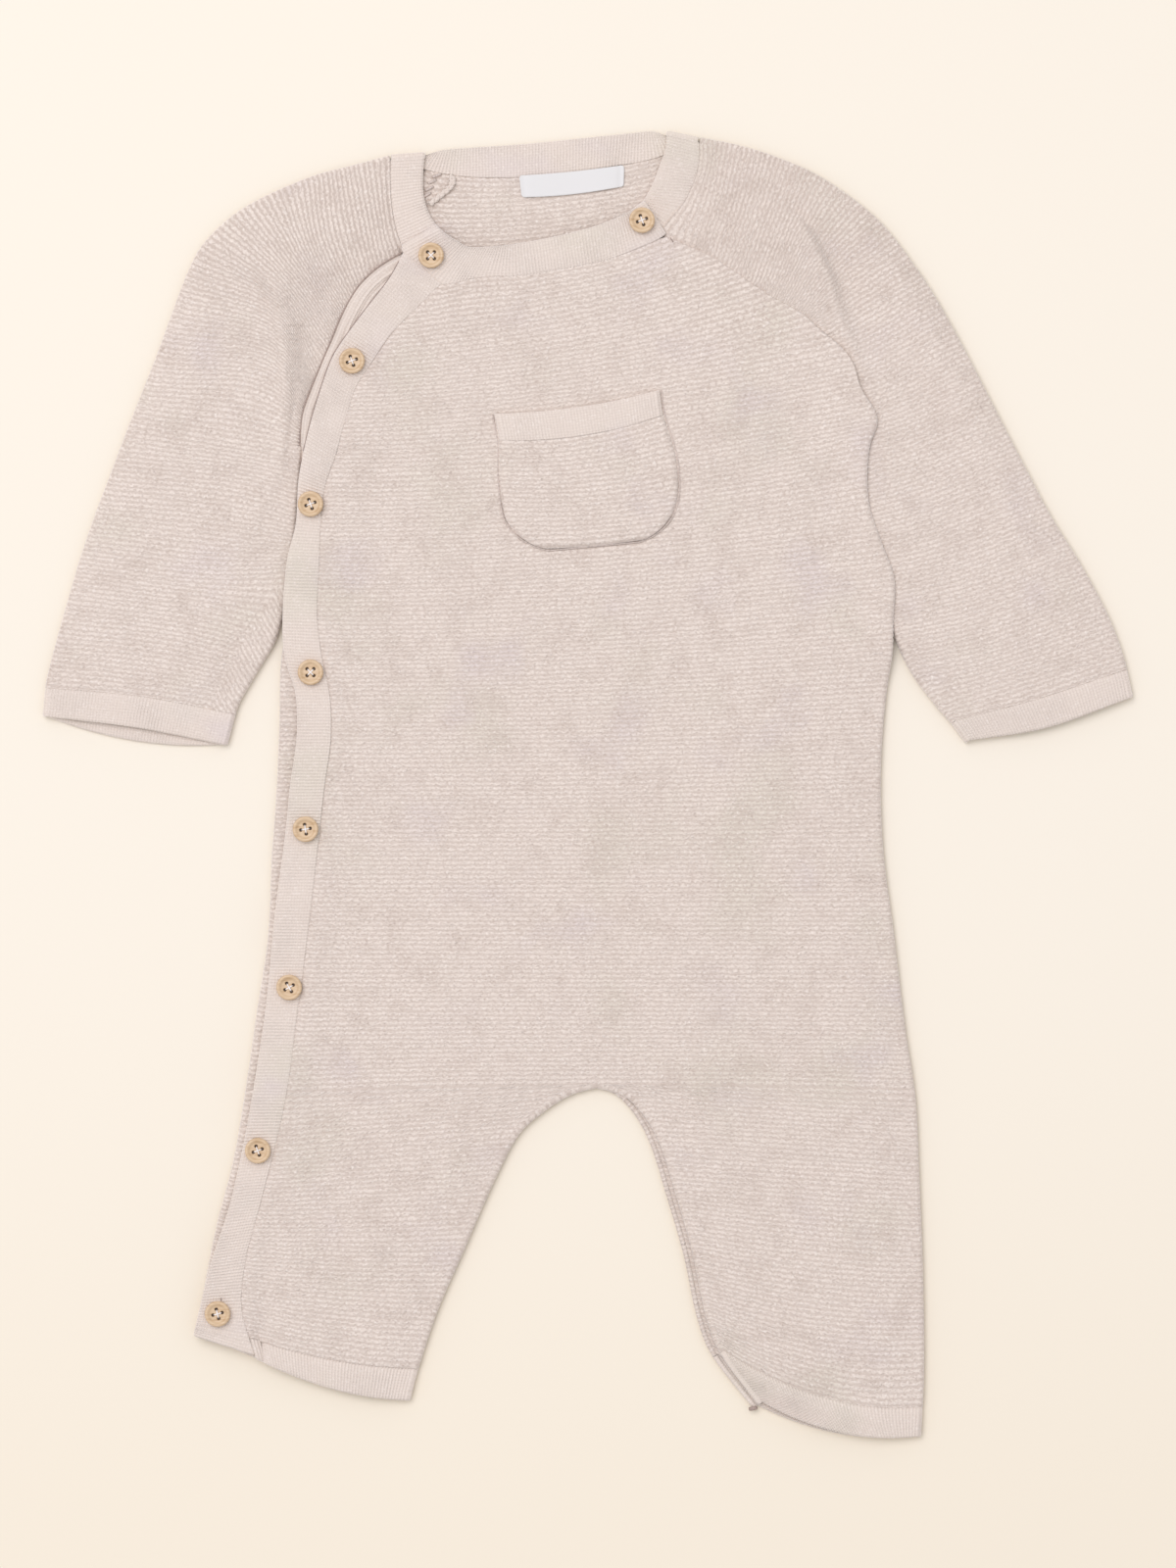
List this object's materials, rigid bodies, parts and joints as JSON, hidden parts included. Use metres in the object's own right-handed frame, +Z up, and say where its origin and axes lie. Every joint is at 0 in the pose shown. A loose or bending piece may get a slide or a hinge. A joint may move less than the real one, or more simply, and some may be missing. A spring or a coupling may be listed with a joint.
{
  "type": "baby romper",
  "caption": "Long-sleeved baby romper in fine garter knit, laid flat, with raglan sleeves, rib cuffs, leg hems and neckband, a patch pocket and a buttoned placket from neck to leg hem.",
  "frame": {"origin": "under the middle of the garment, on the surface that it lies on", "axes": "+Z up from the surface, +Y from the leg hems to the neck, +X towards the wearer's left"},
  "size_m": [0.4356, 0.5222, 0.0092],
  "materials": {
    "garter_knit": "oatmeal-pink melange garter knit, matt",
    "rib_knit": "the same yarn in a fine flat rib, matt",
    "label_tape": "white woven tape, bare",
    "button_wood": "light turned wood, satin"
  },
  "bodies": {
    "root": {"back": "garter_knit", "front": "garter_knit", "sleeve_left": "garter_knit", "sleeve_right": "garter_knit", "pocket": "garter_knit", "cuff_left": "rib_knit", "cuff_right": "rib_knit", "hem_front_left": "rib_knit", "hem_back_left": "rib_knit", "hem_front_right": "rib_knit", "hem_back_right": "rib_knit", "neckband": "rib_knit", "neckband_front": "rib_knit", "button_band": "rib_knit", "under_band": "rib_knit", "pocket_band": "rib_knit", "label": "label_tape", "button_1": "button_wood", "button_2": "button_wood", "button_3": "button_wood", "button_4": "button_wood", "button_5": "button_wood", "button_6": "button_wood", "button_7": "button_wood", "button_8": "button_wood", "button_9": "button_wood"}
  },
  "joints": []
}
